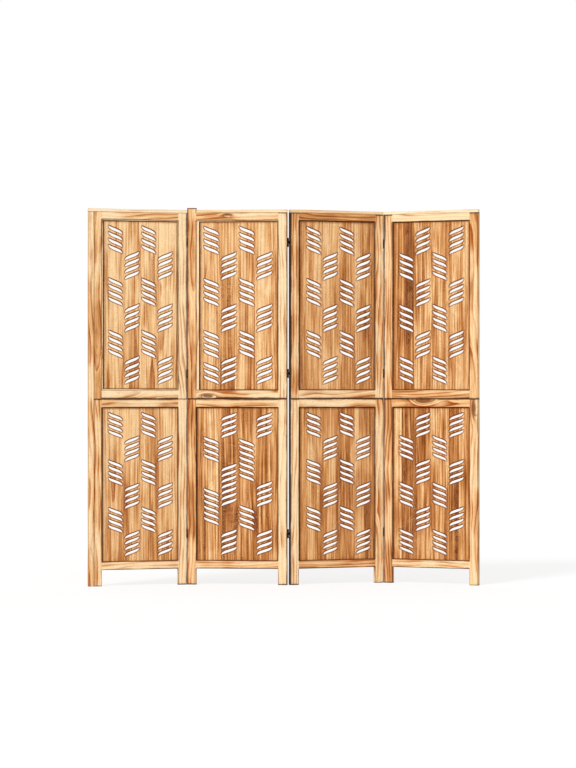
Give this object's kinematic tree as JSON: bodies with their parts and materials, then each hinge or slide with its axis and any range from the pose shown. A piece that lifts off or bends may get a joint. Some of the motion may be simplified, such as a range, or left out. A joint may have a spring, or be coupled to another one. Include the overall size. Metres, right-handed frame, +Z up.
{
  "type": "folding room divider",
  "caption": "Free-standing wooden folding screen with framed, leaf-pierced boards in two storeys and hinged panels that fold flat.",
  "frame": {"origin": "on the floor, under the middle of the standing screen's footprint", "axes": "+Z up, front faces towards -Y, +X to the right seen from the front"},
  "size_m": [1.7686, 0.2642, 1.709],
  "materials": {
    "frame_wood": "torched softwood, honey with brown cathedral grain and burnt edges, satin",
    "board_wood": "torched softwood board, edge-glued strips in browns, satin",
    "cap_wood": "pale softwood strip, satin",
    "slip_wood": "plain softwood, unfinished",
    "hinge_steel": "dark bronzed steel"
  },
  "bodies": {
    "panel_1": {"panel_1_edge_strip": "frame_wood", "panel_1_lower_board": "board_wood", "panel_1_lower_bottom_rail": "frame_wood", "panel_1_lower_left_stile": "frame_wood", "panel_1_lower_right_stile": "frame_wood", "panel_1_lower_top_rail": "frame_wood", "panel_1_right_hinge_leaves": "hinge_steel", "panel_1_storey_slips": "slip_wood", "panel_1_top_cap": "cap_wood", "panel_1_upper_board": "board_wood", "panel_1_upper_bottom_rail": "frame_wood", "panel_1_upper_left_stile": "frame_wood", "panel_1_upper_right_stile": "frame_wood", "panel_1_upper_stop_beads": "frame_wood", "panel_1_upper_top_rail": "frame_wood"},
    "panel_2": {"panel_2_left_hinge_leaves": "hinge_steel", "panel_2_lower_board": "board_wood", "panel_2_lower_bottom_rail": "frame_wood", "panel_2_lower_left_stile": "frame_wood", "panel_2_lower_right_stile": "frame_wood", "panel_2_lower_top_rail": "frame_wood", "panel_2_right_hinge_leaves": "hinge_steel", "panel_2_storey_slips": "slip_wood", "panel_2_top_cap": "cap_wood", "panel_2_upper_board": "board_wood", "panel_2_upper_bottom_rail": "frame_wood", "panel_2_upper_left_stile": "frame_wood", "panel_2_upper_right_stile": "frame_wood", "panel_2_upper_stop_beads": "frame_wood", "panel_2_upper_top_rail": "frame_wood"},
    "panel_3": {"panel_3_left_hinge_leaves": "hinge_steel", "panel_3_lower_board": "board_wood", "panel_3_lower_bottom_rail": "frame_wood", "panel_3_lower_left_stile": "frame_wood", "panel_3_lower_right_stile": "frame_wood", "panel_3_lower_top_rail": "frame_wood", "panel_3_right_hinge_leaves": "hinge_steel", "panel_3_storey_slips": "slip_wood", "panel_3_top_cap": "cap_wood", "panel_3_upper_board": "board_wood", "panel_3_upper_bottom_rail": "frame_wood", "panel_3_upper_left_stile": "frame_wood", "panel_3_upper_right_stile": "frame_wood", "panel_3_upper_top_rail": "frame_wood"},
    "panel_4": {"panel_4_left_hinge_leaves": "hinge_steel", "panel_4_lower_board": "board_wood", "panel_4_lower_bottom_rail": "frame_wood", "panel_4_lower_left_stile": "frame_wood", "panel_4_lower_right_stile": "frame_wood", "panel_4_lower_top_rail": "frame_wood", "panel_4_storey_slips": "slip_wood", "panel_4_top_cap": "cap_wood", "panel_4_upper_board": "board_wood", "panel_4_upper_bottom_rail": "frame_wood", "panel_4_upper_left_stile": "frame_wood", "panel_4_upper_right_stile": "frame_wood", "panel_4_upper_top_rail": "frame_wood"}
  },
  "joints": [
    {"name": "fold_1_2", "type": "hinge", "parent": "panel_1", "child": "panel_2", "pos_m": [-0.44042, -0.00705, 0.958], "axis": [0, 0, -1], "range_deg": [-21, 159]},
    {"name": "fold_2_3", "type": "hinge", "parent": "panel_2", "child": "panel_3", "pos_m": [0.018, -0.02406, 0.958], "axis": [0, 0, 1], "range_deg": [-25, 155]},
    {"name": "fold_3_4", "type": "hinge", "parent": "panel_3", "child": "panel_4", "pos_m": [0.45638, 0.11102, 0.958], "axis": [0, 0, -1], "range_deg": [-43, 137]}
  ]
}
